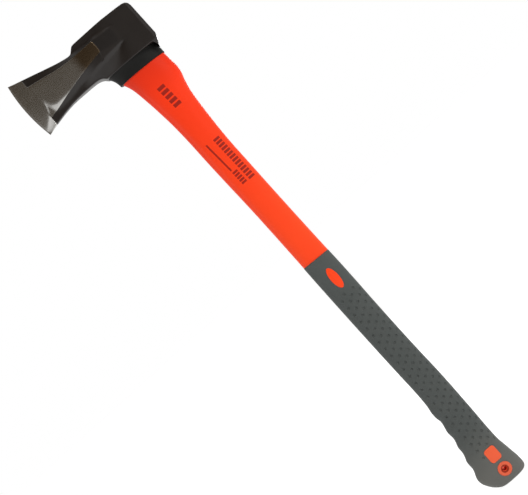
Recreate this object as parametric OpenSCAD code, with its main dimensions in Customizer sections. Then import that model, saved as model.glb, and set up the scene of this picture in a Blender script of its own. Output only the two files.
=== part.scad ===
// Splitting axe: a forged wedge head on a moulded fibreglass haft with a soft grip.
// +Z runs up the haft to the head, the cutting edge faces -X, the poll faces +X and Y is
// the thickness. The origin is the middle of the hang hole, half way through the butt.

/* [Overall] */
// Height of the haft's shoulder, where the collar sits, above the hang hole
haft_len = 678.5; // [640:0.5:820]
// Length of the head from the cutting edge to the poll face
head_len = 188.6; // [172:0.2:228]
// Fall of the head's foot, the collar and the grip's top edge towards the poll, per length
lean = 0.047; // [0:0.001:0.06]

/* [Haft] */
// Width of the haft at its slimmest stretch
shaft_w = 38.2; // [32:0.2:46]
// Thickness of the haft at its slimmest stretch
shaft_t = 27.5; // [22:0.5:34]
// Reach of the haft in front of the hang hole, just under the collar
neck_front = 34.2; // [28:0.2:42]
// Reach of the haft behind the hang hole, just under the collar
neck_back = 32; // [26:0.2:40]
// Reach of the rounded shoulder at the back of the neck
shoulder_back = 33.6; // [27:0.2:42]
// Depth of that shoulder below the collar
shoulder_drop = 26.5; // [20:0.5:36]
// Thickness of the haft just under the collar
neck_t = 32.5; // [26:0.5:38]
// Length over which the neck tapers to the slim stretch
neck_len = 228; // [180:1:265]

/* [Core] */
// Width of the fibreglass rod inside the haft
core_w = 21; // [14:0.5:25]
// Thickness of that rod
core_t = 13; // [8:0.5:16]
// Height of the rod's lower end above the hang hole
core_foot_z = 44; // [30:1:80]

/* [Grip] */
// Height of the grip's top edge above the hang hole
grip_top_z = 354.3; // [345:0.1:390]
// Wall of the soft grip
grip_wall = 2.8; // [2:0.1:4]
// Width of the grip along its straight stretch
grip_w = 40; // [35:0.2:48]
// Thickness of the grip
grip_t = 30; // [26:0.5:36]
// Reach of the butt's heel in front of the hang hole
heel_reach = 35.5; // [28:0.2:42]
// Reach of the butt behind the hang hole
butt_back = 23.9; // [19:0.5:30]
// Depth of the butt's flat end below the hang hole
butt_drop = 18; // [14:0.5:24]
// Number of finger scallops along the front of the grip
scallop_count = 4; // [1:1:5]
// Spacing of the scallops
scallop_pitch = 24; // [18:0.5:28]
// Depth of a scallop from crest to valley
scallop_depth = 2; // [0.5:0.1:3]

/* [Windows] */
// Height of the oval window's middle above the hang hole
window_z = 321; // [150:1:330]
// Height of the oval window
window_h = 31; // [16:1:44]
// Width of the oval window
window_w = 11.8; // [6:0.2:18]
// Height of the badge window's middle above the hang hole
badge_z = 23.5; // [22:0.5:30]
// Height of the badge window
badge_h = 20; // [12:0.5:22]
// Width of the badge window
badge_w = 16; // [10:0.5:20]
// Corner radius of the badge window
badge_r = 4; // [1:0.5:5]
// How far the windows and the ring stand proud of the grip
window_proud = 0.3; // [0:0.1:0.8]
// Gap round each raised window in the grip
mould_gap = 0.05; // [0:0.05:0.2]

/* [Hang hole] */
// Diameter of the hole through the butt
hang_d = 6; // [5:0.5:8]
// Diameter of the countersink at each mouth of the hole
hang_sink_d = 10.6; // [9:0.2:13]
// Depth of that countersink
hang_sink_depth = 2.5; // [1:0.5:5]
// Diameter of the ring round the hole
ring_d = 18.6; // [15:0.2:20]

/* [Collar] */
// Height of the collar between the haft's shoulder and the head
collar_h = 17.3; // [12:0.1:26]
// How far the collar's foot stands out from the front of the haft
collar_lip = 3.4; // [1:0.2:5]
// Reach of the collar's top in front of the hang hole
collar_top_front = 43.5; // [40:0.5:47]
// Gap between the collar and the haft's tenon
collar_gap = 0.1; // [0.05:0.05:0.4]

/* [Head] */
// Reach of the poll face behind the hang hole
poll_reach = 40.2; // [38:0.2:50]
// Height of the cutting edge from heel to toe
edge_h = 81.2; // [66:0.2:100]
// Rise of the toe above the top of the eye block
toe_rise = 18.8; // [6:0.2:26]
// Bow of the cutting edge between heel and toe
edge_bow = 3.9; // [2:0.1:10]
// Height of the eye block
block_h = 62.2; // [54:0.2:76]
// Thickness of the eye block
block_t = 45.6; // [38:0.2:52]
// Reach of the eye block in front of the hang hole
block_front = 50; // [46:0.5:56]
// Thickness of the head across the crest of the splitting rib
rib_t = 49; // [46:0.2:58]
// Reach of that crest in front of the hang hole
rib_crest = 27.8; // [20:0.2:34]
// Depth of the ground bit behind the cutting edge
bit_depth = 20.5; // [14:0.5:30]
// Thickness of the head where the ground bit ends
bit_t = 10.2; // [8:0.2:14]
// Thickness of the web at the start of the hollows
web_t = 8; // [6:0.2:10]
// Chamfer on the poll's upright edges
poll_chamfer = 4; // [1:0.5:6]

/* [Eye] */
// Length of the eye, along X
eye_len = 58; // [48:0.5:62]
// Width of the eye, along Y
eye_w = 25; // [20:0.5:28]
// Middle of the eye in front of the hang hole
eye_offset = 2.5; // [0:0.5:5]
// Thickness of the resin between the haft's tenon and the eye
resin_gap = 1.4; // [0.6:0.1:2.5]
// How far the tenon ends below the top of the head
tenon_drop = 1.5; // [0.5:0.5:4]
// How far the resin ends below the top of the head
resin_drop = 0.8; // [0.2:0.1:2]

/* [Hidden] */
$fn = 64;

past = 1;             // a cutter runs this far past what it cuts
sliver = 0.01;        // overlap that keeps two cutters from only touching
ring_sides = 28;      // corners of each section of a lofted skin
haft_round = 2.4;     // exponent of the oval sections, 2 for an ellipse
head_z = haft_len + collar_h;      // the head's foot, at the middle of the hang hole
head_top = head_z + block_h;
edge_x = poll_reach - head_len;
toe_z = head_top + toe_rise;
heel_z = toe_z - edge_h;
edge_r = (pow(edge_h / 2, 2) + pow(edge_bow, 2)) / (2 * edge_bow);
tenon_len = eye_len - 2 * resin_gap;
tenon_w = eye_w - 2 * resin_gap;
tenon_top = head_top - tenon_drop;
resin_z = head_z + lean * (eye_len / 2 + eye_offset);  // just clear of the collar all round
tenon_root = 5;       // the tenon starts this far inside the haft
reach = 6;            // a cutter runs this far past a face that leans or curves
badge_x = 0.5;        // middle of the badge window
window_x = 1.5;       // middle of the oval window

// ---- smooth curves through a few rows, and the skins lofted on them ----

// Number of the row at or below height z
function row_at(t, z, i = 0) = i >= len(t) - 2 || z < t[i + 1][0] ? i : row_at(t, z, i + 1);

// Slope of column k at row i
function slope(t, i, k) =
    let (a = max(i - 1, 0), b = min(i + 1, len(t) - 1))
    (t[b][k] - t[a][k]) / (t[b][0] - t[a][0]);

// Value of column k at height z, on a cubic through the rows
function smooth_at(t, z, k) =
    let (
        i = row_at(t, z),
        h = t[i + 1][0] - t[i][0],
        s = (z - t[i][0]) / h,
        rise_in = slope(t, i, k) * h,
        rise_out = slope(t, i + 1, k) * h
    )
    t[i][k] * (1 + 2 * s) * pow(1 - s, 2) + rise_in * s * pow(1 - s, 2)
    + t[i + 1][k] * s * s * (3 - 2 * s) + rise_out * s * s * (s - 1);

// Oval section from -front to back, with the given half thickness
function section(front, back, half_t) = [
    for (i = [0:ring_sides - 1])
        let (a = 360 * i / ring_sides, c = cos(a), s = sin(a))
        [(back - front) / 2 + (back + front) / 2 * sign(c) * pow(abs(c), 2 / haft_round),
         half_t * sign(s) * pow(abs(s), 2 / haft_round)]
];

// Slope of the sections at height z: level at the butt, leaning fully from the grip's top up
function lean_at(z) = lean * max(0, min(1, z / grip_top_z));

// Closed skin through rows of [height, front, back, half thickness]
module loft(rows) {
    n = ring_sides;
    points = [
        for (r = rows)
            each [for (q = section(r[1], r[2], r[3])) [q[0], q[1], r[0] - lean_at(r[0]) * q[0]]]
    ];
    polyhedron(points = points, faces = skin_faces(len(rows), n));
}

// Faces of a closed skin over a number of rings of n points each
function skin_faces(rings, n) =
    let (
        last = (rings - 1) * n,
        sides = [
            for (j = [0:rings - 2], i = [0:n - 1])
                let (a = j * n + i, b = j * n + (i + 1) % n, c = b + n, d = a + n)
                each [[a, d, c], [a, c, b]]
        ],
        caps = [[for (i = [0:n - 1]) i], [for (i = [n - 1:-1:0]) last + i]]
    )
    concat(sides, caps);

// Slot-shaped outline, long along X, with round ends
module slot(length, width) {
    straight = length - width;
    square([straight, width], center = true);
    for (side = [-1, 1])
        translate([side * straight / 2, 0]) circle(d = width);
}

// Draws a child outline, x across and y up, as a prism through the thickness
module across(thickness) {
    rotate([90, 0, 0]) linear_extrude(height = thickness, center = true) children();
}

// ---- the haft's outlines, as rows of [height, front, back, half thickness] ----

grip_half = grip_w / 2;
scallop_z0 = 7;                    // height of the heel's crest
heel_base = heel_reach - scallop_depth / 2;
butt_rows = [
    [-butt_drop, heel_base - 20, butt_back - 7, grip_t / 2 - 5.2],
    [-butt_drop + 1, heel_base - 17, butt_back - 3.6, grip_t / 2 - 2.8],
    [-butt_drop + 3.5, heel_base - 13, butt_back - 0.9, grip_t / 2 - 1.1],
    [-butt_drop + 8, heel_base - 8.1, butt_back, grip_t / 2 - 0.3],
    [-butt_drop + 13, heel_base - 4.5, butt_back, grip_t / 2],
    [0, heel_base - 1.6, butt_back - 0.2, grip_t / 2],
    [scallop_z0, heel_base, butt_back - 1.3, grip_t / 2]
];
heel_rows = [
    [20, heel_base - 2.7, grip_half + 0.9, grip_t / 2],
    [31, heel_base - 5.1, grip_half - 0.8, grip_t / 2],
    [55, grip_half + 5.2, grip_half - 0.9, grip_t / 2],
    [79, grip_half + 2.5, grip_half - 0.2, grip_t / 2],
    [103, grip_half + 1.3, grip_half + 0.2, grip_t / 2],
    [138, grip_half - 0.4, grip_half + 0.7, grip_t / 2],
    [190, grip_half + 0.2, grip_half - 0.3, grip_t / 2]
];
straight_rows = [
    [grip_top_z - 94, grip_half + 0.3, grip_half - 0.6, grip_t / 2],
    [grip_top_z - 40, grip_half + 0.2, grip_half, grip_t / 2],
    [grip_top_z, grip_half - 0.2, grip_half - 0.3, grip_t / 2]
];
grip_rows = concat(butt_rows, heel_rows, straight_rows);

shaft_half = shaft_w / 2;
haft_rows = [
    [grip_top_z, shaft_half + 0.4, shaft_half + 0.4, shaft_t / 2],
    [grip_top_z + 50, shaft_half + 0.1, shaft_half, shaft_t / 2],
    [haft_len - neck_len, shaft_half + 0.1, shaft_half - 0.1, shaft_t / 2],
    [haft_len - 169, shaft_half + 1.2, shaft_half + 0.1, shaft_t / 2],
    [haft_len - 138, shaft_half + 1.5, shaft_half + 0.2, shaft_t / 2 + 0.2],
    [haft_len - 108, shaft_half + 1.5, shaft_half + 1.6, shaft_t / 2 + 0.5],
    [haft_len - 78, shaft_half + 2.5, shaft_half + 3.9, shaft_t / 2 + 1],
    [haft_len - 58, shaft_half + 4.2, shaft_half + 6.1, shaft_t / 2 + 1.4],
    [haft_len - shoulder_drop - 16, neck_front - 9.4, shoulder_back - 4.8, neck_t / 2 - 0.8],
    [haft_len - shoulder_drop - 8, neck_front - 8.2, shoulder_back - 2, neck_t / 2 - 0.6],
    [haft_len - shoulder_drop, neck_front - 7.3, shoulder_back, neck_t / 2 - 0.4],
    [haft_len - 14.5, neck_front - 5.4, neck_back + 0.7, neck_t / 2 - 0.1],
    [haft_len - 6.5, neck_front - 3.2, neck_back + 0.1, neck_t / 2],
    [haft_len, neck_front, neck_back, neck_t / 2]
];

// Heights at which each skin has a section
butt_z = [for (h = [0, 1, 2.2, 3.8, 6, 9, 13]) h - butt_drop];
scallop_top = scallop_z0 + scallop_pitch * (scallop_count + 0.25);
ripple_z = [for (i = [0:6 * scallop_count + 1]) scallop_z0 + scallop_pitch * i / 6];
straight_z = [for (z = [ceil((scallop_top + 8) / 30) * 30:30:grip_top_z - 12]) z];
grip_z = concat(butt_z, [0.5], ripple_z, straight_z, [grip_top_z]);
under_z = concat(butt_z, [0.5], [for (z = [scallop_z0:12:scallop_top]) z], straight_z, [grip_top_z]);
slim_z = [for (z = [grip_top_z:30:haft_len - 165]) z];
neck_z = [for (d = [150:-15:75]) haft_len - d];
shoulder_z = [for (d = [66:-6:0]) haft_len - d];

// Depth of the scallops at height z: crests stand out, valleys cut in
function ripple(z) =
    z > scallop_top ? 0
    : scallop_depth / 2 * cos(360 * (max(z, scallop_z0) - scallop_z0) / scallop_pitch);

// Rows of the grip's outside
grip_skin = [
    for (z = grip_z)
        [z, smooth_at(grip_rows, z, 1) + ripple(z), smooth_at(grip_rows, z, 2),
         smooth_at(grip_rows, z, 3)]
];

// Rows of the jacket under the grip, a grip's wall further in
under_skin = [
    for (z = under_z)
        let (lift = grip_wall * max(0, min(1, -z / butt_drop)))
        [z + lift, smooth_at(grip_rows, z, 1) - grip_wall,
         smooth_at(grip_rows, z, 2) - grip_wall, smooth_at(grip_rows, z, 3) - grip_wall]
];

// Rows of the bare haft from the grip to the collar
haft_skin = [
    for (z = concat(slim_z, neck_z, shoulder_z))
        [z, smooth_at(haft_rows, z, 1), smooth_at(haft_rows, z, 2), smooth_at(haft_rows, z, 3)]
];

// ---- the windows that the jacket shows through the grip ----

window_len = grip_t + 2 * window_proud;

// Oval window, pointed a little at its ends
module oval_outline(gap = 0) {
    translate([window_x, window_z])
        polygon([for (a = [0:12:348]) [(window_w / 2 + gap) * cos(a), (window_h / 2 + gap) * sin(a)]]);
}

// Badge window: a plain upright rectangle with round corners
module badge_outline(gap = 0) {
    w = badge_w + 2 * gap;
    h = badge_h + 2 * gap;
    r = badge_r + gap;
    translate([badge_x, badge_z]) {
        square([w - 2 * r, h], center = true);
        square([w, h - 2 * r], center = true);
        for (sx = [-1, 1], sz = [-1, 1])
            translate([sx * (w / 2 - r), sz * (h / 2 - r)]) circle(r = r);
    }
}

module ring_outline(gap = 0) {
    circle(d = ring_d + 2 * gap);
}

// Everything that stands out of the jacket through the grip
module window_blocks(gap, thickness) {
    across(thickness) oval_outline(gap);
    across(thickness) badge_outline(gap);
    across(thickness) ring_outline(gap);
}

// ---- pieces ----

module core_slot(gap = 0) {
    translate([-eye_offset, 0, core_foot_z - gap])
        linear_extrude(height = tenon_top - core_foot_z + 2 * gap)
            slot(core_w + 2 * gap, core_t + 2 * gap);
}

// Pultruded rod, from above the badge window to the top of the eye
module fibreglass_core() {
    color([0.80, 0.76, 0.60]) core_slot();
}

// Hard jacket moulded round the core: tenon, neck, shaft and the block under the grip
module haft_jacket() {
    color([0.96, 0.27, 0.16]) difference() {
        union() {
            loft(concat(under_skin, haft_skin));
            window_blocks(0, window_len);
            translate([-eye_offset, 0, haft_len - tenon_root])
                linear_extrude(height = tenon_top - haft_len + tenon_root)
                    slot(tenon_len, tenon_w);
        }
        core_slot();
        translate([-eye_offset, 0, tenon_top - past])
            linear_extrude(height = 2 * past) slot(core_w, core_t);
        rotate([90, 0, 0]) cylinder(d = hang_d, h = window_len + 2 * past, center = true);
        for (side = [-1, 1])
            rotate([side * 90, 0, 0])
                translate([0, 0, window_len / 2 - hang_sink_depth])
                    cylinder(d1 = hang_d, d2 = hang_sink_d, h = hang_sink_depth + sliver);
    }
}

// Soft sleeve, closed at the butt like a boot, with an opening for each raised window
module grip_sleeve() {
    inner = [for (i = [len(under_skin) - 1:-1:0]) under_skin[i]];
    color([0.33, 0.34, 0.34]) difference() {
        loft(concat(grip_skin, inner));
        window_blocks(mould_gap, window_len + 2 * past);
    }
}

// Rubber collar that fills the space between the haft's shoulder and the head
module head_collar() {
    foot_front = neck_front + collar_lip;
    back = neck_back + 1;
    collar_rows = [
        [haft_len, foot_front, back, neck_t / 2 + 1.4],
        [haft_len + 0.3 * collar_h, foot_front + 0.5, back, neck_t / 2 + 1.6],
        [haft_len + 0.7 * collar_h, foot_front + 2.6, back, neck_t / 2 + 2.2],
        [head_z, collar_top_front, back, neck_t / 2 + 3]
    ];
    steps = 7;
    color([0.10, 0.10, 0.10]) difference() {
        loft([
            for (i = [0:steps])
                let (z = haft_len + collar_h * i / steps)
                [z, smooth_at(collar_rows, z, 1), back, smooth_at(collar_rows, z, 3)]
        ]);
        translate([-eye_offset, 0, haft_len - reach])
            linear_extrude(height = collar_h + 2 * reach)
                slot(tenon_len + 2 * collar_gap, tenon_w + 2 * collar_gap);
    }
}

// Cast resin between the tenon and the wall of the eye
module eye_resin() {
    color([0.22, 0.17, 0.10])
        translate([-eye_offset, 0, resin_z])
            linear_extrude(height = head_top - resin_drop - resin_z)
                difference() {
                    slot(eye_len, eye_w);
                    slot(tenon_len, tenon_w);
                }
}

// ---- the head ----

arc_half = asin(edge_h / 2 / edge_r);
arc_steps = 16;

// Point of the cutting edge's arc at an angle above the middle of the edge
function edge_point(a) = [edge_x + edge_r * (1 - cos(a)), (toe_z + heel_z) / 2 + edge_r * sin(a)];

// Lower outline between the heel and the collar, as [reach in front, height above the head's foot]
web_under = [
    [collar_top_front, lean * collar_top_front],
    [collar_top_front + 4.4, 6.4],
    [block_front + 4, 8.7],
    [block_front + 12, 9.5],
    [block_front + 23, 9.8],
    [-edge_x - 59, 9.7],
    [-edge_x - 46, 8.8],
    [-edge_x - 25, 5],
    [-edge_x - edge_bow, heel_z - head_z]
];

// Upper outline between the toe and the eye block, as [reach in front, height above the head's top]
web_over = [
    [block_front - 5, 1.5],
    [block_front, 1.1],
    [block_front + 4, -2],
    [block_front + 7.6, -5.1],
    [block_front + 11.5, -5.7],
    [block_front + 18, -4.6],
    [block_front + 29, -1.8],
    [-edge_x - 24.4, toe_rise - 6.4],
    [-edge_x - edge_bow, toe_rise]
];

// The head seen from the side: edge, toe, hollow top line, eye block, poll and foot
module side_outline() {
    arc = [for (i = [0:arc_steps]) edge_point(arc_half * (1 - 2 * i / arc_steps))];
    under_x = [for (x = [-edge_x - edge_bow - 8:-8:block_front + 14]) x];
    foot_x = [for (x = [block_front + 10:-2.5:collar_top_front + 1]) x];
    neck_x = [for (x = [block_front - 5:2:block_front + 13]) x];
    over_x = [for (x = [block_front + 18:11:-edge_x - edge_bow - 6]) x];
    polygon(concat(
        arc,
        [for (x = concat(under_x, foot_x)) [-x, head_z + smooth_at(web_under, x, 1)]],
        [
            [-collar_top_front, head_z + lean * collar_top_front],
            [neck_back + 1.2, head_z - lean * (neck_back + 1.2)],
            [neck_back + 1.2, head_z - 9.5],
            [poll_reach - 5, head_z - 5.5],
            [poll_reach, head_z + 5],
            [poll_reach, head_top - 11],
            [poll_reach - 1, head_top - 7],
            [poll_reach - 3.6, head_top - 4],
            [poll_reach - 8, head_top - 2.6],
            [poll_reach - 16, head_top - 1.7],
            [0, head_top],
            [-block_front + 20, head_top + 1]
        ],
        [for (x = concat(neck_x, over_x)) [-x, head_top + smooth_at(web_over, x, 1)]]
    ));
}

// The web and the eye block seen from above, without the ground bit and the rib
web_rows = [
    [-edge_x - bit_depth + 12, 2],
    [-edge_x - bit_depth - 1, web_t / 2],
    [-edge_x - bit_depth - 28, web_t / 2 + 2.2],
    [block_front + 29, block_t / 2 - 13.2],
    [block_front + 10, block_t / 2 - 10.6],
    [block_front, block_t / 2 - 8.8],
    [30, block_t / 2 - 4.8],
    [10, block_t / 2 - 1.2],
    [-6, block_t / 2],
    [poll_chamfer - poll_reach, block_t / 2],
    [-poll_reach, block_t / 2 - poll_chamfer]
];

module web_and_block() {
    near = [for (r = web_rows) [-r[0], r[1]]];
    far = [for (i = [len(web_rows) - 1:-1:0]) [-web_rows[i][0], -web_rows[i][1]]];
    translate([0, 0, heel_z - 2 * reach])
        linear_extrude(height = edge_h + 4 * reach) polygon(concat(near, far));
}

// The ground bit: a wedge of one section all along the curved edge
module ground_bit() {
    half = bit_t / 2;
    translate([edge_x + edge_r, 0, (toe_z + heel_z) / 2])
        rotate([90, 0, 0])
            rotate_extrude($fn = 180)
                polygon([
                    [edge_r, 0],
                    [edge_r - 3, half * 0.22],
                    [edge_r - 10, half * 0.57],
                    [edge_r - bit_depth, half],
                    [edge_r - bit_depth, -half],
                    [edge_r - 10, -half * 0.57],
                    [edge_r - 3, -half * 0.22]
                ]);
}

// The splitting rib: its crest is narrow at the eye and fans out to the bit
// Rows of [x, half thickness, crest top, crest foot, wall top, wall foot], heights from the head's foot
rib_rows = [
    [edge_x + bit_depth - 6, bit_t / 2 - 1.2, 66, 12, 80, 4],
    [edge_x + bit_depth + 2, bit_t / 2 + 0.3, 63.4, 15.3, 78, 8],
    [edge_x + bit_depth + 12, bit_t / 2 + 1.8, 61, 17.2, 74, 10],
    [edge_x + bit_depth + 28, bit_t / 2 + 4.4, 58, 20.4, 69, 12.6],
    [-block_front - 29, rib_t / 2 - 10.6, 53.6, 24.2, 63, 15.6],
    [-block_front - 9, rib_t / 2 - 6.2, 51.2, 27.8, 60, 18],
    [-(block_front + rib_crest) / 2 - 2, rib_t / 2 - 2.6, 50.2, 30.6, 59, 19.6],
    [-rib_crest, rib_t / 2, 49.8, 31.8, 58, 20.8],
    [2, block_t / 2, 48, 26, 54, 23]
];

module splitting_rib() {
    points = [
        for (r = rib_rows)
            let (foot = r[1] * 0.4)
            each [
                [r[0], foot, head_z + r[5]], [r[0], r[1], head_z + r[3]],
                [r[0], r[1], head_z + r[2]], [r[0], foot, head_z + r[4]],
                [r[0], -foot, head_z + r[4]], [r[0], -r[1], head_z + r[2]],
                [r[0], -r[1], head_z + r[3]], [r[0], -foot, head_z + r[5]]
            ]
    ];
    polyhedron(points = points, faces = skin_faces(len(rib_rows), 8));
}

// Forged head: eye block, web, splitting rib and ground bit, with the eye through it
module axe_head() {
    color([0.17, 0.15, 0.14]) difference() {
        intersection() {
            across(rib_t + reach) side_outline();
            union() {
                web_and_block();
                ground_bit();
                splitting_rib();
            }
        }
        translate([-eye_offset, 0, head_z - reach])
            linear_extrude(height = block_h + 2 * reach) slot(eye_len, eye_w);
    }
}

axe_head();
eye_resin();
head_collar();
haft_jacket();
grip_sleeve();
fibreglass_core();
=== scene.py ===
import math

import bpy
import numpy as np
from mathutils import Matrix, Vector


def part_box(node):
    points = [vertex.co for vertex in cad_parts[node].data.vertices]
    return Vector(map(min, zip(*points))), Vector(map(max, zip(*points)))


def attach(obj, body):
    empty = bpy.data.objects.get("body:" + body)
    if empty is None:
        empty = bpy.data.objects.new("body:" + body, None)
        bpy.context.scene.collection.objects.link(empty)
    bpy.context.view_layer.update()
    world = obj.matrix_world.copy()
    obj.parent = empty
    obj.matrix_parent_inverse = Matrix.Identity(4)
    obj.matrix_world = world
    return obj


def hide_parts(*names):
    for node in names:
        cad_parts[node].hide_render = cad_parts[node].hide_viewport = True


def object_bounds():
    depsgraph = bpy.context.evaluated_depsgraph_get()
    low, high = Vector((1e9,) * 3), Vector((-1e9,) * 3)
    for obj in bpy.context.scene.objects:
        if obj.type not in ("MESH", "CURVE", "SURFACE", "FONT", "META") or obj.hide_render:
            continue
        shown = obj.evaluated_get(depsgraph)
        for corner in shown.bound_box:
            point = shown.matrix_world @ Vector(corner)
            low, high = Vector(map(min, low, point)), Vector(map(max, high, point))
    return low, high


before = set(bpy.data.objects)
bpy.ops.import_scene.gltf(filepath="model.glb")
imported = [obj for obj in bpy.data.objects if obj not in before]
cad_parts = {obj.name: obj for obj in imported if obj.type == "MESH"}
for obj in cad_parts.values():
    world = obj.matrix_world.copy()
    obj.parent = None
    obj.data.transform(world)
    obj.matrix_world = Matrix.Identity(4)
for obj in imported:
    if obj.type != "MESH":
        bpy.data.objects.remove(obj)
cadLow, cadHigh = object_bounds()
bpy.ops.object.select_all(action="DESELECT")

mm = 0.001
scene = bpy.context.scene
scene.view_settings.view_transform = "Standard"


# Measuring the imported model: all places and sizes from here on are in millimetres
lean = 0.047  # fall of the haft's sections towards the poll, per length


def nodeBox(name):
    low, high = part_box(name)
    return np.array(low) / mm, np.array(high) / mm


def cornersOf(name):
    return np.array([v.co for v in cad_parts[name].data.vertices]) / mm


gripCorners = cornersOf("grip_sleeve")
gripPeak = gripCorners[gripCorners[:, 2].argmax()]
gripTop = gripPeak[2] + lean * gripPeak[0]
collarCorners = cornersOf("head_collar")
collarFoot = collarCorners[collarCorners[:, 2].argmin()]
haftTop = collarFoot[2] + lean * collarFoot[0]


def leanAt(level):
    return lean * np.clip(level / gripTop, 0, 1)


def upright(points):  # the same points with the lean of the haft's sections taken out
    x, z = points[:, 0], points[:, 2]
    low = z / (1 - lean * x / gripTop)
    high = np.where(low < gripTop, low, z + lean * x)
    stood = points.copy()
    stood[:, 2] = np.where(low < 0, z, high)
    return stood


edgesOf = {}


def cut(name, axis, level, stood=False):  # where the node's edges cross a plane
    if (name, stood) not in edgesOf:
        corners = upright(cornersOf(name)) if stood else cornersOf(name)
        ends = np.array([e.vertices[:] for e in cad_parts[name].data.edges])
        edgesOf[name, stood] = corners[ends[:, 0]], corners[ends[:, 1]]
    a, b = edgesOf[name, stood]
    da, db = a[:, axis] - level, b[:, axis] - level
    hit = (da * db <= 0) & (da != db)
    share = (da[hit] / (da[hit] - db[hit]))[:, None]
    return a[hit] + share * (b[hit] - a[hit])


def eased(values, passes):  # runs a row of readings smooth
    for _ in range(passes):
        wide = np.pad(values, 1, mode="reflect", reflect_type="odd")
        values = (wide[:-2] + 2 * wide[1:-1] + wide[2:]) / 4
    return values


def pick(*pieces):  # selects these and makes the first one active
    bpy.ops.object.select_all(action="DESELECT")
    for piece in pieces:
        piece.select_set(True)
    bpy.context.view_layer.objects.active = pieces[0]


def editing(piece, mode="VERT"):
    pick(piece)
    bpy.ops.object.mode_set(mode="EDIT")
    bpy.ops.mesh.select_mode(type=mode)
    bpy.ops.mesh.select_all(action="SELECT")


def done():
    bpy.ops.object.mode_set(mode="OBJECT")


def chosen(piece, mode, test):  # selects in edit mode what passes the test
    editing(piece, mode)
    bpy.ops.mesh.select_all(action="DESELECT")
    done()
    shape = piece.data
    for item in {"VERT": shape.vertices, "EDGE": shape.edges, "FACE": shape.polygons}[mode]:
        item.select = bool(test(item))
    bpy.ops.object.mode_set(mode="EDIT")


def netOf(name, net):  # a grid primitive laid over a net of points, rows first
    rows, columns = net.shape[:2]
    bpy.ops.mesh.primitive_grid_add(x_subdivisions=columns - 1, y_subdivisions=rows - 1, size=1)
    piece = bpy.context.object
    piece.name = name
    flat = np.empty(len(piece.data.vertices) * 3)
    piece.data.vertices.foreach_get("co", flat)
    flat = flat.reshape(-1, 3)
    column = np.rint((flat[:, 0] + 0.5) * (columns - 1)).astype(int)
    row = np.rint((flat[:, 1] + 0.5) * (rows - 1)).astype(int)
    piece.data.vertices.foreach_set("co", (net[row, column] * mm).ravel())
    piece.data.update()
    return piece


def skinOf(name, rings):  # a closed skin through rings of points
    net = np.array([np.vstack([ring, ring[:1]]) for ring in rings])
    piece = netOf(name, net)
    editing(piece)
    bpy.ops.mesh.remove_doubles(threshold=0.002 * mm)
    bpy.ops.mesh.fill_holes(sides=0)
    bpy.ops.mesh.select_all(action="SELECT")
    bpy.ops.mesh.normals_make_consistent(inside=False)
    done()
    return piece


def worked(piece, tool, operation):  # joins the tool to the piece, or cuts it out
    pick(piece)
    change = piece.modifiers.new(operation.title(), "BOOLEAN")
    change.operation = operation
    change.solver = "EXACT"
    change.object = tool
    bpy.ops.object.modifier_apply(modifier=change.name)
    bpy.data.objects.remove(tool)


def slotBar(name, length, width, low, high, middle):  # upright bar with round ends, long along X
    bpy.ops.mesh.primitive_cylinder_add(
        vertices=64, radius=width / 2 * mm, depth=(high - low) * mm,
        location=(middle * mm, 0, (low + high) / 2 * mm))
    bar = bpy.context.object
    bar.name = name
    pick(bar)
    bpy.ops.object.transform_apply()
    for side in (-1, 1):
        chosen(bar, "VERT", lambda v: (v.co.x - middle * mm) * side > 0.001 * mm)
        bpy.ops.transform.translate(value=(side * (length - width) / 2 * mm, 0, 0))
        done()
    return bar


def finished(piece, look, nodes=(), angle=35):
    pick(piece)
    bpy.ops.object.shade_smooth_by_angle(angle=math.radians(angle))
    piece.data.materials.clear()
    piece.data.materials.append(look)
    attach(piece, "root")
    if nodes:
        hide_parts(*nodes)
    print("made", piece.name, len(piece.data.polygons), "faces")


class Wire:  # a socket's value, so that sums are written as sums
    def __init__(self, finish, socket):
        self.finish = finish
        self.socket = socket

    def sum(self, operation, *values):
        return self.finish.node("ShaderNodeMath", {"operation": operation}, dict(enumerate(values)))

    def __add__(self, other):
        return self.sum("ADD", self, other)

    def __radd__(self, other):
        return self.sum("ADD", other, self)

    def __sub__(self, other):
        return self.sum("SUBTRACT", self, other)

    def __rsub__(self, other):
        return self.sum("SUBTRACT", other, self)

    def __mul__(self, other):
        return self.sum("MULTIPLY", self, other)

    def __rmul__(self, other):
        return self.sum("MULTIPLY", other, self)

    def __abs__(self):
        return self.sum("ABSOLUTE", self)

    def __mod__(self, other):
        return self.sum("FLOORED_MODULO", self, other)

    def rise(self, low, high):  # 0 below low, 1 above high, smooth between
        settings = {"interpolation_type": "SMOOTHSTEP"}
        sockets = {"Value": self, "From Min": low, "From Max": high}
        return self.finish.node("ShaderNodeMapRange", settings, sockets)


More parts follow.
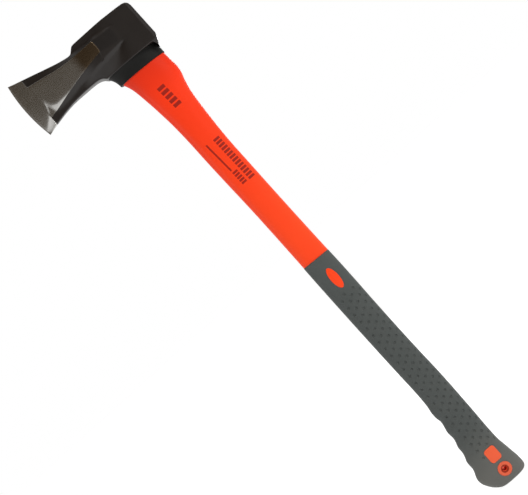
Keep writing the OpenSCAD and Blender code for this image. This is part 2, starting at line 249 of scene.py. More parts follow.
class Finish:  # one material, with its places in millimetres
    def __init__(self, name, shader, owner=None, kind="Principled BSDF"):
        self.owner = owner or bpy.data.materials.new(name)
        self.owner.use_nodes = True
        self.tree = self.owner.node_tree
        self.shader = self.tree.nodes[kind]
        for socket, value in shader.items():
            self.shader.inputs[socket].default_value = value
        self.place = self.node("ShaderNodeTexCoord", output="Object")
        parts = [self.node("ShaderNodeSeparateXYZ", {}, {0: self.place}, axis) for axis in "XYZ"]
        self.x, self.y, self.z = [part * (1 / mm) for part in parts]
        self.alongY = parts[1]  # for the studio's air, where a place is a direction

    def node(self, kind, settings=None, sockets=None, output=0):
        made = self.tree.nodes.new(kind)
        for name, value in (settings or {}).items():
            setattr(made, name, value)
        for name, value in (sockets or {}).items():
            self.plug(made.inputs[name], value)
        return Wire(self, made.outputs[output])

    def plug(self, socket, value):
        if isinstance(value, Wire):
            self.tree.links.new(value.socket, socket)
        else:
            socket.default_value = value

    def out(self, **sockets):
        for name, value in sockets.items():
            self.plug(self.shader.inputs[name.replace("_", " ")], value)

    def mix(self, share, first, second):  # colours
        sockets = {0: share, 6: first, 7: second}
        return self.node("ShaderNodeMix", {"data_type": "RGBA"}, sockets, output=2)

    def noise(self, size, detail=2.0, rough=0.5, stretch=(1, 1, 1)):  # size of its features in mm
        at = self.node("ShaderNodeMapping", {}, {"Vector": self.place, "Scale": stretch})
        sockets = {"Vector": at, "Scale": 1 / (size * mm), "Detail": detail, "Roughness": rough}
        return self.node("ShaderNodeTexNoise", {}, sockets)

    def bump(self, height, depth, strength=1.0):  # depth in mm for a height of 0 to 1
        sockets = {"Strength": strength, "Distance": depth * mm, "Height": height}
        self.out(Normal=self.node("ShaderNodeBump", {}, sockets))


def paint(red, green, blue):  # screen colour as a shader colour
    shares = (red / 255, green / 255, blue / 255)
    return (*[c / 12.92 if c <= 0.04045 else ((c + 0.055) / 1.055) ** 2.4 for c in shares], 1)


# Camera, lights and floor: these are in metres and degrees
cameraPlace = {"x": -0.0391, "away": 1.95, "height": 0.409, "roll": 42, "lens": 105}
bpy.ops.object.camera_add(
    location=(cameraPlace["x"], -cameraPlace["away"], cameraPlace["height"]),
    rotation=(math.radians(90), math.radians(cameraPlace["roll"]), 0))
camera = bpy.context.object
camera.name = "camera"
camera.data.lens = cameraPlace["lens"]
camera.data.sensor_width = 36
camera.data.clip_end = 100
scene.camera = camera


def lamp(name, place, aim, size, power, colour=(1, 1, 1)):
    bpy.ops.object.light_add(type="AREA", location=place)
    light = bpy.context.object
    light.name = name
    light.rotation_euler = (Vector(aim) - Vector(place)).to_track_quat("-Z", "Y").to_euler()
    light.data.shape = "DISK"
    light.data.size = size
    light.data.energy = power
    light.data.color = colour


studioAir = {
    "around": 0.6,        # light from the air
    "infront": 0.08,      # the dim room on the camera's side
    "tint": (1, 0.74, 0.46, 1),
    "behind": 1.0,        # what shows behind the axe
    "floorGlow": 0.84,
}
lamp("keyLight", (1.5, -1.7, 2.2), (0, 0, 0.4), 1.2, 52, (1, 0.98, 0.96))
lamp("fillLight", (-2.3, -0.7, 1.1), (0, 0, 0.35), 1.0, 12)
lamp("backLight", (0.8, 2.4, 1.5), (0, 0, 0.4), 1.6, 40)

studio = Finish("studio", {"Color": (1, 1, 1, 1)}, bpy.data.worlds.new("studio"), "Background")
scene.world = studio.owner
seen = studio.node("ShaderNodeLightPath", output="Is Camera Ray")
towardsUs = (studio.alongY * -1).rise(-0.1, 0.75) * (1 - seen)
lit = studioAir["around"] + towardsUs * (studioAir["infront"] - studioAir["around"])
studio.out(Color=studio.mix(towardsUs, (1, 1, 1, 1), studioAir["tint"]),
           Strength=lit + seen * (studioAir["behind"] - lit))

floorLook = Finish("paleFloor", {
    "Base Color": (0.35, 0.35, 0.35, 1), "Roughness": 0.9, "Specular IOR Level": 0.1,
    "Emission Color": (1, 1, 1, 1), "Emission Strength": studioAir["floorGlow"]})
bpy.ops.mesh.primitive_plane_add(size=60, location=(0, 0, cadLow.z))
floor = bpy.context.object
floor.name = "floor"
floor.data.materials.append(floorLook.owner)


# The head
headForm = {
    "edgeBow": 3.9,          # how far the cutting edge curves out in its middle
    "rimRound": 1.2,         # radius along the head's outline
    "crestRound": 0.5,       # softness of the splitting rib's edges
    "creaseX": (-128, -105, -60, -45, -14, 3),  # softness where the rib meets the web, along X
    "creaseRound": (0.3, 1.6, 1.6, 0.6, 0.6, 0.05),
    "lipRound": 0.35,        # softness of the lip that ends the polished strip
    "wallBelow": (7.3, 11),  # run of the rib's lower wall, at the bit and at the lip
    "wallAbove": (14.6, 8.2),
    "wallShare": 0.6,        # how much of the crest's height the wall falls over that run
    "ridgeZ": (715.1, 720),  # the ridge under the strip, at X -50 and at X 0
    "slopeX": (-75, -60, -45, -30),  # fall of the wall above the ridge, along X
    "ridgeSlope": (1.1, 0.4, 0.1, 0.03),
    "ridgeDrop": 2.2,        # step from the ridge down to the flank
    "lipStep": 0.55,         # drop just behind the strip
    "lipBow": 0.9,           # how far the lip's ends lie in front of its middle
    "shelfEnd": 2,           # the rib's plain end runs out into the block here
    "lugStart": 28.5,        # the foot curves down into the lug at the poll from here
    "lugEnd": 33.4,
    "lugTaper": 0.55,        # how fast the lug thins downwards
    "heelTilt": 0.27,        # how far the lower edge of the steel turns down towards the heel
    "heelSoft": 2,           # softness of the start of that turn
    "rollX": (-150, -140, -130, -126, -122.5, -119, -112, -98),  # where the turn starts, along X
    "rollUp": (-8, -4, 3, 9, 20, 9, 4, 1),
    "bitDepth": (0, 3, 10, 20.5, 220),  # the bit's half thickness, by the way behind the edge
    "bitHalf": (0, 1.12, 2.9, 5.1, 47),
    "bitEnd": -126.5,        # the upper hollow starts here
    "bitEndBelow": -129.2,   # the lower hollow starts here
    "lipX": -27.8,
}

headLow, headHigh = nodeBox("axe_head")
eyeLow, eyeHigh = nodeBox("eye_resin")
edgeX, pollX = headLow[0], headHigh[0]
edgeMid = cut("axe_head", 0, edgeX + 0.2)[:, 2].mean()
toeZ = headHigh[2]
heelZ = 2 * edgeMid - toeZ
edgeHalf = (toeZ - heelZ) / 2
edgeBow = headForm["edgeBow"]

stationX = np.concatenate([
    edgeX + edgeBow + np.array([0, 0.35, 0.9, 1.7, 2.7, 4]),
    np.arange(-139.2, -131, 1.2), np.arange(-130.4, -121, 0.6), np.arange(-120.5, -62, 1.6),
    np.arange(-61.5, -43, 0.8), np.arange(-42, -31, 1.6), np.arange(-30.2, -25.2, 0.4),
    np.arange(-24, 3, 1.6), np.arange(4.4, 28, 3),
    [28.5, 29.5, 30.4, 31.2, 32, 32.7, 33.4, 34.2, 35, 36, 36.9, 37.6],
    pollX - np.array([1.5, 0.98, 0.53, 0.18, 0])])
readX = np.clip(stationX, edgeX + edgeBow + 0.05, pollX - 0.02)

outlineTop = np.array([cut("axe_head", 0, x)[:, 2].max() for x in readX])
outlineFoot = np.array([cut("axe_head", 0, x)[:, 2].min() for x in readX])
lugLow = outlineFoot[stationX > headForm["lugEnd"] - 0.2].min()
lugHigh = cut("axe_head", 0, headForm["lugStart"])[:, 2].min()
lugRun = headForm["lugEnd"] - headForm["lugStart"]
lugShare = np.clip((stationX - headForm["lugStart"]) / lugRun, 0, 1)
lugFoot = lugHigh + (lugLow - lugHigh) * lugShare ** 2.2
outlineFoot = np.where((lugShare > 0) & (lugShare < 1), lugFoot, outlineFoot)


def crestOf(x):  # lowest and highest point of the crest and its half thickness
    points = cut("axe_head", 0, x)
    peak = abs(points[:, 1]).max()
    ridge = points[abs(points[:, 1]) > peak - 0.05, 2]
    return ridge.min(), ridge.max(), peak


def cheekOf(x):  # half thickness of the web or the block at the lower outline
    points = cut("axe_head", 0, x)
    near = points[points[:, 2] < points[:, 2].min() + 0.5]
    return abs(near[:, 1]).max()


def extended(samples, values):  # straight on past both ends of the samples
    start = np.polyfit(samples[:4], values[:4], 1)
    end = np.polyfit(samples[-4:], values[-4:], 1)
    return lambda x: np.where(x < samples[0], np.polyval(start, x), np.where(
        x > samples[-1], np.polyval(end, x), np.interp(x, samples, values)))


ribX = np.arange(-125, headForm["lipX"] - 0.1, 1.2)
ribReadings = np.array([crestOf(x) for x in ribX])
crestFootTo = extended(ribX, eased(ribReadings[:, 0], 12))
crestTopTo = extended(ribX, eased(ribReadings[:, 1], 12))
crestRiseTo = extended(ribX, eased(ribReadings[:, 2], 12))
lipHalf = headHigh[1]
cheekX = np.concatenate([np.arange(-127, -60, 2), np.arange(-58, 36, 2)])
cheekTo = extended(cheekX, eased(np.array([cheekOf(x) for x in cheekX]), 6))
blockHalf = cheekOf(15)


def softMost(a, b, soft):
    return (a + b + np.sqrt((a - b) ** 2 + soft ** 2)) / 2


def softLeast(a, b, soft):
    return (a + b - np.sqrt((a - b) ** 2 + soft ** 2)) / 2


def rise(value, low, high):
    share = np.clip((value - low) / (high - low), 0, 1)
    return share * share * (3 - 2 * share)


def crestLines(x):  # lower and upper edge of the crest; past the lip they stay level
    lip = headForm["lipX"]
    past = np.clip((x - lip) / 30, 0, 1)
    foot = crestFootTo(np.minimum(x, lip)) - 5.5 * past
    top = crestTopTo(np.minimum(x, lip)) - 1.8 * past
    return foot, top


def bitRise(depth):  # half thickness of the ground bit, this far behind the edge
    return np.interp(depth, headForm["bitDepth"], headForm["bitHalf"])


def lipAt(z):  # the lip bows a little towards the poll
    return headForm["lipX"] - headForm["lipBow"] * ((z - edgeMid - 2) / 9) ** 2


def heelRoll(x, z, foot):  # the steel's lower edge turning down, most of all towards the heel
    turnAt = foot + np.interp(x, headForm["rollX"], headForm["rollUp"])
    soft = headForm["heelSoft"]
    below = (turnAt - z + np.sqrt((turnAt - z) ** 2 + soft ** 2)) / 2
    return headForm["heelTilt"] * below * (1 - rise(x, -104, -84))


def halfThickness(x, z, depth, low):
    form = headForm
    foot, top = crestLines(x)
    lip = lipAt(z)
    step = form["lipStep"]
    falling = lipHalf - (x - lip) * (lipHalf - blockHalf - step) / 30 - step * rise(x, lip, lip + 1)
    crest = softLeast(crestRiseTo(x), falling, form["lipRound"])
    crest = softLeast(crest, bitRise(depth), 0.25)
    most = np.maximum(0.65 * crest, 0.01)
    crest = crest - most * (1 - np.exp(-heelRoll(x, z, foot) / most))
    along = np.clip((x + 126) / (lip + 126), 0, 1)
    runBelow = form["wallBelow"][0] + along * (form["wallBelow"][1] - form["wallBelow"][0])
    runAbove = form["wallAbove"][0] + along * (form["wallAbove"][1] - form["wallAbove"][0])
    wallBelow = crest * (1 - form["wallShare"] * (foot - z) / runBelow)
    runAbove = runAbove + 25 * rise(x, lip - 4, form["shelfEnd"])
    wallAbove = crest * (1 - form["wallShare"] * (z - top) / runAbove)
    ridge = form["ridgeZ"][1] + (form["ridgeZ"][1] - form["ridgeZ"][0]) * x / 50
    gentle = np.interp(x, form["slopeX"], form["ridgeSlope"])
    ridgeHalf = crest - gentle * (foot - ridge)
    shelf = softLeast(crest - gentle * (foot - z), ridgeHalf - 1.5 * (ridge - z), 0.4)
    ribbed = rise(x, -75, -52)
    wallBelow = wallBelow + (shelf - wallBelow) * ribbed
    rib = softLeast(crest, softLeast(wallBelow, wallAbove, form["crestRound"]), form["crestRound"])
    cheek = softLeast(cheekTo(x), blockHalf, 0.6)
    flankShare = np.clip((z - low - 2) / (ridge - 1 - low - 2), 0, 1)
    flankTop = ridgeHalf - form["ridgeDrop"] * ribbed
    flankFoot = softLeast(cheek, flankTop - 2, 0.5)
    flank = flankFoot + (flankTop - flankFoot) * flankShare
    flank = np.where(z < ridge + 4, flank, cheek)
    fadeStart = -34 + 31 * flankShare
    cheek = cheek + (flank - cheek) * ribbed * (1 - rise(x, fadeStart, form["shelfEnd"] + 2))
    body = softMost(rib, cheek, np.interp(x, form["creaseX"], form["creaseRound"]))
    upper = rise(z, edgeMid - 6, edgeMid + 6)
    bitEnd = form["bitEndBelow"] + upper * (form["bitEnd"] - form["bitEndBelow"])
    ground = 1 - rise(x, bitEnd - 0.7, bitEnd + 0.7)
    return body + ground * (crest - body)


def bareSteel(x, z):  # how far inside the ground steel a point is, below 0 outside it
    foot, top = crestLines(x)
    inset = np.interp(x, [-108, -90], [0, 0.7])
    strip = np.minimum(np.minimum(z - foot, top - z) - inset, lipAt(z) + 1.1 - x)
    upper = rise(z, edgeMid - 6, edgeMid + 6)
    bitEnd = headForm["bitEndBelow"] + upper * (headForm["bitEnd"] - headForm["bitEndBelow"])
    return np.maximum(strip, bitEnd - x)


def shadedShelf(x, z):  # the same for the rib's plain end behind the lip, where shade is painted in
    foot, top = crestLines(x)
    ends = headForm["shelfEnd"] - 0.02 * (z - edgeMid) ** 2
    return np.minimum(np.minimum(z - foot, top - z), np.minimum(x - lipAt(z) - 1.1, ends - x))


def rowsBetween(count, ends):  # shares of the way, closer together near both ends
    share = np.linspace(0, 1, count + 1)
    return share - ends * np.sin(2 * np.pi * share) / (2 * np.pi)


def headNet():
    rim = headForm["rimRound"]
    rimRows = rim * np.array([0, 0.12, 0.35, 0.65, 1])
    columns = []
    for x, foot, top in zip(stationX, outlineFoot, outlineTop):
        crestFoot, crestTop = crestLines(x)
        low, high = foot + rim, top - rim
        crestFoot = np.clip(crestFoot, low + 2, high - 6)
        crestTop = np.clip(crestTop, crestFoot + 3, high - 1.5)
        levels = np.concatenate([
            foot + rimRows[:-1],
            low + (crestFoot - low) * rowsBetween(20, 0.5)[:-1],
            crestFoot + (crestTop - crestFoot) * rowsBetween(26, 0.6)[:-1],
            crestTop + (high - crestTop) * rowsBetween(16, 0.5),
            top - rimRows[-2::-1]])
        columns.append(levels)
    z = np.array(columns)
    x = np.repeat(stationX[:, None], z.shape[1], axis=1)
    bow = edgeBow * (1 - np.clip((z - edgeMid) / edgeHalf, -1, 1) ** 2)
    depth = x - stationX[0]
    fade = 1 - rise(x, edgeX + 14, edgeX + 42)
    x = x - bow * fade
    half = halfThickness(x, z, depth + bow * (1 - fade), outlineFoot[:, None])
    rounding = np.minimum(rim, 0.42 * half)

    def fall(distance):
        inside = np.clip(1 - distance / np.maximum(rounding, 0.01), 0, 1)
        return rounding * (1 - np.sqrt(1 - inside ** 2))
    low, high = outlineFoot[:, None], outlineTop[:, None]
    edge = np.minimum(np.minimum(z - low, high - z), pollX - x)
    half = half - fall(edge)
    chamfer = np.clip(x - (pollX - 4), 0, None)
    taper = headForm["lugTaper"] * np.clip(lugHigh + 1 - z, 0, None) * (x > 20)
    ceiling = blockHalf + 0.3 + 6 * (1 - rise(x, -26, 8))
    half = softLeast(half, ceiling - chamfer - taper, 0.8)
    half = np.minimum(half, lipHalf)
    half[0] = 0
    return np.stack([x, -half, z], axis=2)


head = netOf("axeHead", headNet())
editing(head)
bpy.ops.mesh.select_all(action="DESELECT")
bpy.ops.mesh.select_non_manifold()
done()
for edge in head.data.edges:
    ends = [head.data.vertices[i].co for i in edge.vertices]
    edge.select = edge.select and max(abs(end.y) for end in ends) > 0.01 * mm
for vertex in head.data.vertices:
    vertex.select = False
for edge in head.data.edges:
    if edge.select:
        for i in edge.vertices:
            head.data.vertices[i].select = True
bpy.ops.object.mode_set(mode="EDIT")
bpy.ops.mesh.select_mode(type="EDGE")
bpy.ops.mesh.extrude_region_move()
bpy.ops.transform.resize(value=(1, 0, 1), center_override=(0, 0, 0))
bpy.ops.mesh.select_all(action="SELECT")
bpy.ops.mesh.remove_doubles(threshold=0.002 * mm)
done()
pick(head)
twin = head.modifiers.new("Twin", "MIRROR")
twin.use_axis = (False, True, False)
twin.merge_threshold = 0.002 * mm
bpy.ops.object.modifier_apply(modifier=twin.name)
editing(head)
bpy.ops.mesh.remove_doubles(threshold=0.002 * mm)
bpy.ops.mesh.normals_make_consistent(inside=False)
done()

eyeMid = (eyeLow[0] + eyeHigh[0]) / 2
eyeSize = eyeHigh - eyeLow
eyeBar = slotBar("eyeBar", eyeSize[0], eyeSize[1], headLow[2] - 20, headHigh[2] + 20, eyeMid)
worked(head, eyeBar, "DIFFERENCE")

spots = np.array([v.co for v in head.data.vertices]) / mm
for name, reach in (("bareSteel", bareSteel), ("shadedShelf", shadedShelf)):
    mark = head.data.attributes.new(name, "FLOAT", "POINT")
    mark.data.foreach_set("value", reach(spots[:, 0], spots[:, 2]))


def headLook():
    look = Finish("forgedHead", {"Specular IOR Level": 0.42})
    edge = look.node("ShaderNodeAttribute", {"attribute_name": "bareSteel"}, output="Fac")
    ragged = look.noise(3, 4) - 0.5
    bare = (edge + ragged * 0.9).rise(-0.25, 0.25)
    cloud = look.noise(14, 3)
    brushed = look.noise(1.2, 2, stretch=(0.08, 1, 1))
    steel = look.mix(cloud, paint(178, 177, 174), paint(196, 195, 192))
    # painted reflection: from X -67 towards the eye the bare steel is painted brown, standing in
    # for a brown reflection
    brownReflection = (look.x + (look.noise(6, 3) - 0.5) * 5).rise(-67, -51)
    steel = look.mix(brownReflection, steel, paint(124, 108, 88))
    black = look.mix(cloud, paint(20, 15, 12), paint(28, 23, 20))
    shelf = look.node("ShaderNodeAttribute", {"attribute_name": "shadedShelf"}, output="Fac")
    # painted shade: the lacquer on the rib's plain end behind the lip is painted darker, as shade
    # on a facet turned from the light
    black = look.mix(shelf.rise(-1, 2) * 0.8, black, paint(13, 8, 6))
    pits = look.noise(1.1, 3)
    lacquered = 1 - bare
    roughness = (0.36 + (pits - 0.5) * 0.12) * lacquered + (0.22 + brushed * 0.04) * bare
    look.out(Base_Color=look.mix(bare, black, steel), Metallic=bare, Roughness=roughness)
    dents = (look.noise(4.5, 2) * 0.6 + pits * 0.25) * lacquered
    look.bump(dents + brushed * 0.015 * bare, 0.12)
    return look.owner


finished(head, headLook(), ["axe_head"], 40)


# The grip, and the windows in it that the haft shows through
gripForm = {
    "wall": 2.8,
    "sides": 80,           # corners of a section
    "step": 3,             # spacing of the sections
    "lipRound": 0.7,       # radius at the grip's top edge
    "proud": 0.3,          # how far windows stand out of the grip
    "gap": 0.12,           # shadow gap round each window
    "dimpleColumns": (-11.2, -3.7, 3.1, 10.2, 15.9),
    "dimpleStarts": (27, 44, 37, 42, 26),  # lowest dimple of each column
    "dimpleTop": 301,
    "dimplePitch": 11.5,   # along the haft
    "dimpleStagger": 5.12, # shift from one column to the next
    "dimpleWidth": 4.2,
    "dimpleDepth": 1.1,
    "fingerPinch": 1.2,    # how much the sides narrow at each finger hollow
    "fingerZ": (-2, 7, 14, 19, 25, 30, 36, 41, 50, 55, 61, 69, 78, 88, 96, 103, 111, 121, 134, 150),
    "fingerMore": (  # how much further the front stands out at those heights
        0, 0.6, 0.9, 0.3, -0.5, 0.3, 1.35, 1, -0.1, 0.5,
        0.1, -0.2, 0.15, 0, -0.9, 0, 0.75, 0, -0.3, 0),
}
windows = {
    "oval": {"at": (1.5, 321), "size": (11.8, 31), "corner": None, "rim": 0.5},
    "badge": {"at": (0.5, 23.5), "size": (16, 20), "corner": 4, "rim": 0.6},
    "ring": {"at": (0, 0), "size": (18.6, 18.6), "corner": None, "rim": 0.9},
}
gripLow, gripHigh = nodeBox("grip_sleeve")
tenonTop = nodeBox("haft_jacket")[1][2]
coreLow, coreHigh = nodeBox("fibreglass_core")
gripHalf = gripHigh[1]


def reaches(name, level):  # front, back and half thickness of a node's section
    points = cut(name, 2, level, stood=True)
    return -points[:, 0].min(), points[:, 0].max(), abs(points[:, 1]).max()


def oval(level, front, back, half, sides, pinch=0.0):
    turn = np.arange(sides) * 2 * np.pi / sides
    c, s = np.cos(turn), np.sin(turn)
    power = 2 / 2.4
    x = (back - front) / 2 + (back + front) / 2 * np.sign(c) * abs(c) ** power
    y = np.sign(s) * abs(s) ** power * (half - pinch * rise(-c, 0.1, 0.8))
    return np.stack([x, y, level - leanAt(level) * x], axis=1)


def ovals(levels, rows, sides, inset=0.0):
    return [oval(level, *(row - inset), sides) for level, row in zip(levels, rows)]


buttLevels = gripLow[2] + np.array([0, 0.3, 0.8, 1.5, 2.4, 3.5, 5, 6.5, 8.4, 10.5, 13, 15.5])
gripLevels = np.arange(0, gripTop - 1.5, gripForm["step"])
gripLevels = np.append(gripLevels, gripTop - 0.1)
gripRows = np.array([reaches("grip_sleeve", level) for level in gripLevels])
gripRows[:, :2] = np.stack([eased(gripRows[:, 0], 2), eased(gripRows[:, 1], 2)], axis=1)
gripRows[:, 0] += np.interp(gripLevels, gripForm["fingerZ"], gripForm["fingerMore"])
gripRows[:, 0] = np.minimum(gripRows[:, 0], -gripLow[0])
gripRows[:, 2] = gripHalf
buttRows = np.array([reaches("grip_sleeve", level + 0.001) for level in buttLevels])
buttRows[9:, 2] = gripHalf - np.array([0.12, 0, 0])
gripLevels = np.concatenate([buttLevels, gripLevels])
gripRows = np.concatenate([buttRows, gripRows])

wall = gripForm["wall"]
buttCount = len(buttLevels)
underButt = buttLevels + wall * np.clip(buttLevels / gripLow[2], 0, 1)
underLevels = np.concatenate([underButt, gripLevels[buttCount::3], [gripTop]])
underRows = np.concatenate([buttRows, gripRows[buttCount::3], gripRows[-1:]]) - wall


def gripRings():
    lip = gripForm["lipRound"]
    sides = gripForm["sides"]
    hollows = np.clip(eased(gripRows[:, 0], 60) - gripRows[:, 0] + 0.4, 0, 3) * (gripLevels > 10)
    rings = [oval(level, *row, sides, gripForm["fingerPinch"] * hollow)
             for level, row, hollow in zip(gripLevels[:-1], gripRows[:-1], hollows)]
    for share in (1.0, 0.62, 0.29, 0.08, 0.0):
        drop = lip * (1 - math.sqrt(1 - (1 - share) ** 2))
        front, back, half = gripRows[-1] - drop
        rings.append(oval(gripTop - lip * share, front, back, half, sides))
    return rings + ovals(underLevels[::-1], underRows[::-1], sides)


def windowBar(name, gap, half, rim=0.0):  # a bar through the butt with a window's outline
    window = windows[name]
    width, height = window["size"][0] + 2 * gap, window["size"][1] + 2 * gap
    place = (window["at"][0] * mm, 0, window["at"][1] * mm)
    if window["corner"]:
        bpy.ops.mesh.primitive_cube_add(size=1, location=place)
        bpy.context.object.dimensions = (width * mm, 2 * half * mm, height * mm)
    else:
        bpy.ops.mesh.primitive_cylinder_add(
            vertices=56, radius=0.5, depth=1, location=place, rotation=(math.pi / 2, 0, 0))
        bpy.context.object.dimensions = (width * mm, height * mm, 2 * half * mm)
    bar = bpy.context.object
    bar.name = name
    pick(bar)
    bpy.ops.object.transform_apply()

    def endsY(edge):
        return [bar.data.vertices[i].co.y for i in edge.vertices]
    if window["corner"]:
        chosen(bar, "EDGE", lambda e: abs(endsY(e)[0] - endsY(e)[1]) > half * mm)
        bpy.ops.mesh.bevel(offset=(window["corner"] + gap) * mm, segments=8, affect="EDGES")
        done()
    if rim:
        chosen(bar, "EDGE", lambda e: endsY(e)[0] * endsY(e)[1] > 0)
        bpy.ops.mesh.bevel(offset=rim * mm, segments=4, affect="EDGES")
        done()
    return bar


grip = skinOf("gripSleeve", gripRings())
for name in windows:
    worked(grip, windowBar(name, gripForm["gap"], gripHalf + 5), "DIFFERENCE")


def dimpleBalls():
    bpy.ops.mesh.primitive_uv_sphere_add(segments=12, ring_count=8, radius=1)
    ball = bpy.context.object
    width, pitch = gripForm["dimpleWidth"], gripForm["dimplePitch"]
    columns = list(zip(gripForm["dimpleColumns"], gripForm["dimpleStarts"]))
    ball.dimensions = np.array([width, width, 2 * gripForm["dimpleDepth"]]) * mm
    pick(ball)
    bpy.ops.object.transform_apply()
    balls = []
    for side in (-1, 1):
        for column, (x, start) in enumerate(columns):
            first = 5 + column * gripForm["dimpleStagger"]
            for z in np.arange(first % pitch, gripForm["dimpleTop"], pitch):
                if z < start:
                    continue
                _, spot, normal, _ = grip.ray_cast((x * mm, side * 0.1, z * mm), (0, -side, 0))
                copy = ball.copy()
                copy.data = ball.data.copy()
                scene.collection.objects.link(copy)
                copy.location = spot
                copy.rotation_euler = normal.to_track_quat("Z", "Y").to_euler()
                balls.append(copy)
    bpy.data.objects.remove(ball)
    pick(*balls)
    bpy.ops.object.join()
    return bpy.context.object


worked(grip, dimpleBalls(), "DIFFERENCE")


def gripLook():
    look = Finish("softGrip", {"Specular IOR Level": 0.2})
    cloud = look.noise(22, 3)
    grain = look.noise(0.45, 2)
    rubber = look.mix(cloud, paint(70, 75, 74), paint(80, 84, 83))
    # painted sheen: the rubber is painted lighter towards the butt, standing in for light falling
    # there
    gripButtSheen = 1 - (look.z + (cloud - 0.5) * 30).rise(-8, 75)
    rubber = look.mix(gripButtSheen * 0.8, rubber, paint(106, 106, 102))
    look.out(Base_Color=rubber, Roughness=0.62 + (cloud - 0.5) * 0.1)
    look.bump(grain, 0.05)
    return look.owner


finished(grip, gripLook(), ["grip_sleeve"], 38)

haftLevels = np.append(np.arange(gripTop + 0.2, haftTop - 2, gripForm["step"]), haftTop - 0.02)
haftRows = np.array([reaches("haft_jacket", level) for level in haftLevels])
haftRows = np.stack([eased(haftRows[:, i], 3) for i in range(3)], axis=1)
sides = gripForm["sides"]
underGrip = ovals(underLevels, underRows, sides, 0.03)
jacket = skinOf("haftJacket", underGrip + ovals(haftLevels, haftRows, sides))
tenonSize = np.ptp(cut("haft_jacket", 2, haftTop + 40)[:, :2], axis=0)
worked(jacket, slotBar("tenon", *tenonSize, haftTop - 5, tenonTop, eyeMid), "UNION")
for name, window in windows.items():
    worked(jacket, windowBar(name, 0, gripHalf + gripForm["proud"], window["rim"]), "UNION")
coreSize = coreHigh - coreLow
coreBar = slotBar("corePocket", coreSize[0], coreSize[1], coreLow[2], coreHigh[2] + 5, eyeMid)
worked(jacket, coreBar, "DIFFERENCE")

hole = {"bore": 6, "mouth": 10.6, "sinkDepth": 1.4}  # the mouth is the countersink's outside


def holeBar():  # the bore with a countersink at each end
    face = gripHalf + gripForm["proud"]
    throat = face - hole["sinkDepth"]
    bpy.ops.mesh.primitive_cylinder_add(
        vertices=48, radius=hole["bore"] / 2 * mm, depth=2 * throat * mm,
        rotation=(math.pi / 2, 0, 0))
    bar = bpy.context.object
    bpy.ops.object.transform_apply()
    for side in (-1, 1):
        chosen(bar, "FACE", lambda f: f.normal.y * side > 0.9)
        sink = (0, side * hole["sinkDepth"] * mm, 0)
        bpy.ops.mesh.extrude_region_move(TRANSFORM_OT_translate={"value": sink})
        wider = hole["mouth"] / hole["bore"]
        bpy.ops.transform.resize(value=(wider, 1, wider), center_override=(0, side * face * mm, 0))
        bpy.ops.mesh.extrude_region_move(TRANSFORM_OT_translate={"value": (0, side * 3 * mm, 0)})
        done()
    return bar


worked(jacket, holeBar(), "DIFFERENCE")

marks = {  # plain bars where the makers print: x from, x to, z from, z to, pitch of the bars, lean
    "mass": (-6.3, 4.4, 612.5, 648, 7.1, 0.055),
    "name": (3.4, 12.5, 484, 553, 4.93, 0.022),
    "line": (-8.5, -6.2, 508, 553, None, 0.05),
    "small": (-6.3, 1.2, 485, 506, 4.2, 0.022),
}


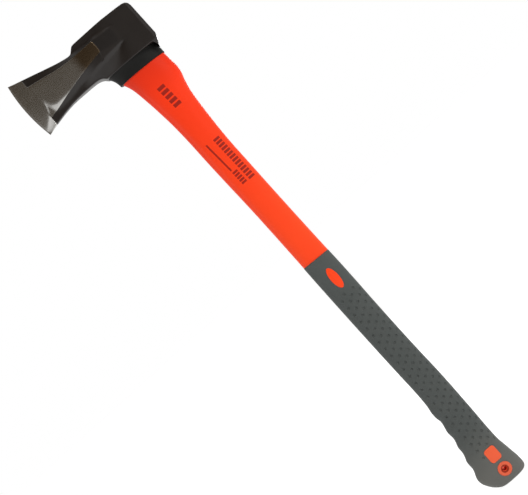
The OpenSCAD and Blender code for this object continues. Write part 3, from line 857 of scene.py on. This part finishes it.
def jacketLook():
    look = Finish("orangeJacket", {"Specular IOR Level": 0.15})
    cloud = look.noise(60, 2)
    # painted shade: the orange is painted darker towards the head, most of all in the top 65 mm
    # below the collar
    height = look.z.rise(360, 690)
    orange = look.mix(height, paint(249, 74, 30), paint(236, 54, 18))
    orange = look.mix(cloud * 0.35, orange, paint(246, 54, 22))
    orange = look.mix(look.z.rise(625, 690) * 0.8, orange, paint(204, 42, 16))
    soft = 0.35
    printed = 0
    for left, right, foot, top, pitch, slant in marks.values():
        x = look.x - (top - look.z) * slant
        box = x.rise(left - soft, left + soft) * (1 - x.rise(right - soft, right + soft))
        box = box * look.z.rise(foot - soft, foot + soft)
        box = box * (1 - look.z.rise(top - soft, top + soft))
        if pitch:
            wave = abs((look.z - foot) % pitch - pitch / 2)
            box = box * (1 - wave.rise(pitch * 0.34 - soft, pitch * 0.34 + soft))
        printed = box + printed
    printed = printed * (look.y * -1).rise(2, 3)
    # painted sheen: the orange is painted paler below 40 to 60 mm, over the badge and the ring at
    # the butt
    jacketButtSheen = 1 - look.z.rise(40, 60)
    orange = look.mix(jacketButtSheen, orange, paint(238, 98, 62))
    squares = look.x * look.x + look.z * look.z
    radius = look.node("ShaderNodeMath", {"operation": "SQRT"}, {0: squares})
    mouth = 1 - radius.rise(hole["mouth"] / 2 - 0.4, hole["mouth"] / 2 + 0.2)
    bore = 1 - radius.rise(hole["bore"] / 2, hole["bore"] / 2 + 0.15)
    # painted sheen: the raised ring round the hole is painted paler
    ring = 1 - radius.rise(10, 11)
    orange = look.mix(ring, orange, paint(226, 100, 70))
    orange = look.mix(printed * 0.85, orange, paint(120, 26, 20))
    # painted shade and light in the hole: the countersink is painted dark red as shade, and the
    # bore's wall is painted pale, standing in for light inside the deep bore
    orange = look.mix(mouth, orange, look.mix(bore, paint(150, 48, 28), paint(255, 110, 70)))
    look.out(Base_Color=orange, Roughness=0.42 + printed * 0.1 + mouth * 0.4)
    look.bump(look.noise(0.6, 2), 0.03)
    return look.owner


finished(jacket, jacketLook(), ["haft_jacket"], 38)

collarForm = {
    "sides": 72,
    "levels": (0, 0.1, 0.35, 0.8, 1.4, 2.5, 4, 6, 8, 10, 12, 14, 16),  # above the foot
    "footCut": (0.8, 0.4, 0.12, 0),  # how far the lowest sections draw in
    "slotGap": 0.2,
}
collarLow, collarHigh = nodeBox("head_collar")
collarTop = collarHigh[2] - lean * abs(collarLow[0])
collarLevels = haftTop + np.array([*collarForm["levels"], collarTop - haftTop - 0.02])
collarRows = [reaches("head_collar", max(level, haftTop + 0.01)) for level in collarLevels]
collarRows = np.array(collarRows)
footCut = np.array(collarForm["footCut"])
collarRows[:len(footCut)] -= footCut[:, None]
collar = skinOf("headCollar", ovals(collarLevels, collarRows, collarForm["sides"]))
slotSize = tenonSize + collarForm["slotGap"]
worked(collar, slotBar("collarSlot", *slotSize, haftTop - 9, collarTop + 9, eyeMid), "DIFFERENCE")


def collarLook():
    look = Finish("blackCollar", {"Specular IOR Level": 0.2})
    cloud = look.noise(9, 3)
    look.out(Base_Color=look.mix(cloud, paint(8, 9, 8), paint(17, 17, 15)),
             Roughness=0.55 + (cloud - 0.5) * 0.15)
    look.bump(look.noise(0.7, 2), 0.04)
    return look.owner


finished(collar, collarLook(), ["head_collar"], 40)


def resinLook():
    look = Finish("castResin", {"Roughness": 0.12, "Coat Weight": 0.5, "Coat Roughness": 0.05})
    cloud = look.noise(5, 3)
    look.out(Base_Color=look.mix(cloud, paint(58, 44, 26), paint(84, 64, 38)))
    look.bump(look.noise(3, 2), 0.15)
    return look.owner


def coreLook():
    look = Finish("glassFibre", {"Roughness": 0.55})
    strands = look.noise(0.8, 3)
    look.out(Base_Color=look.mix(strands, paint(190, 180, 140), paint(226, 220, 190)))
    look.bump(strands, 0.08)
    return look.owner


for name, look in (("eye_resin", resinLook()), ("fibreglass_core", coreLook())):
    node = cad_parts[name]
    node.data.materials.clear()
    node.data.materials.append(look)
    print("dressed", name)
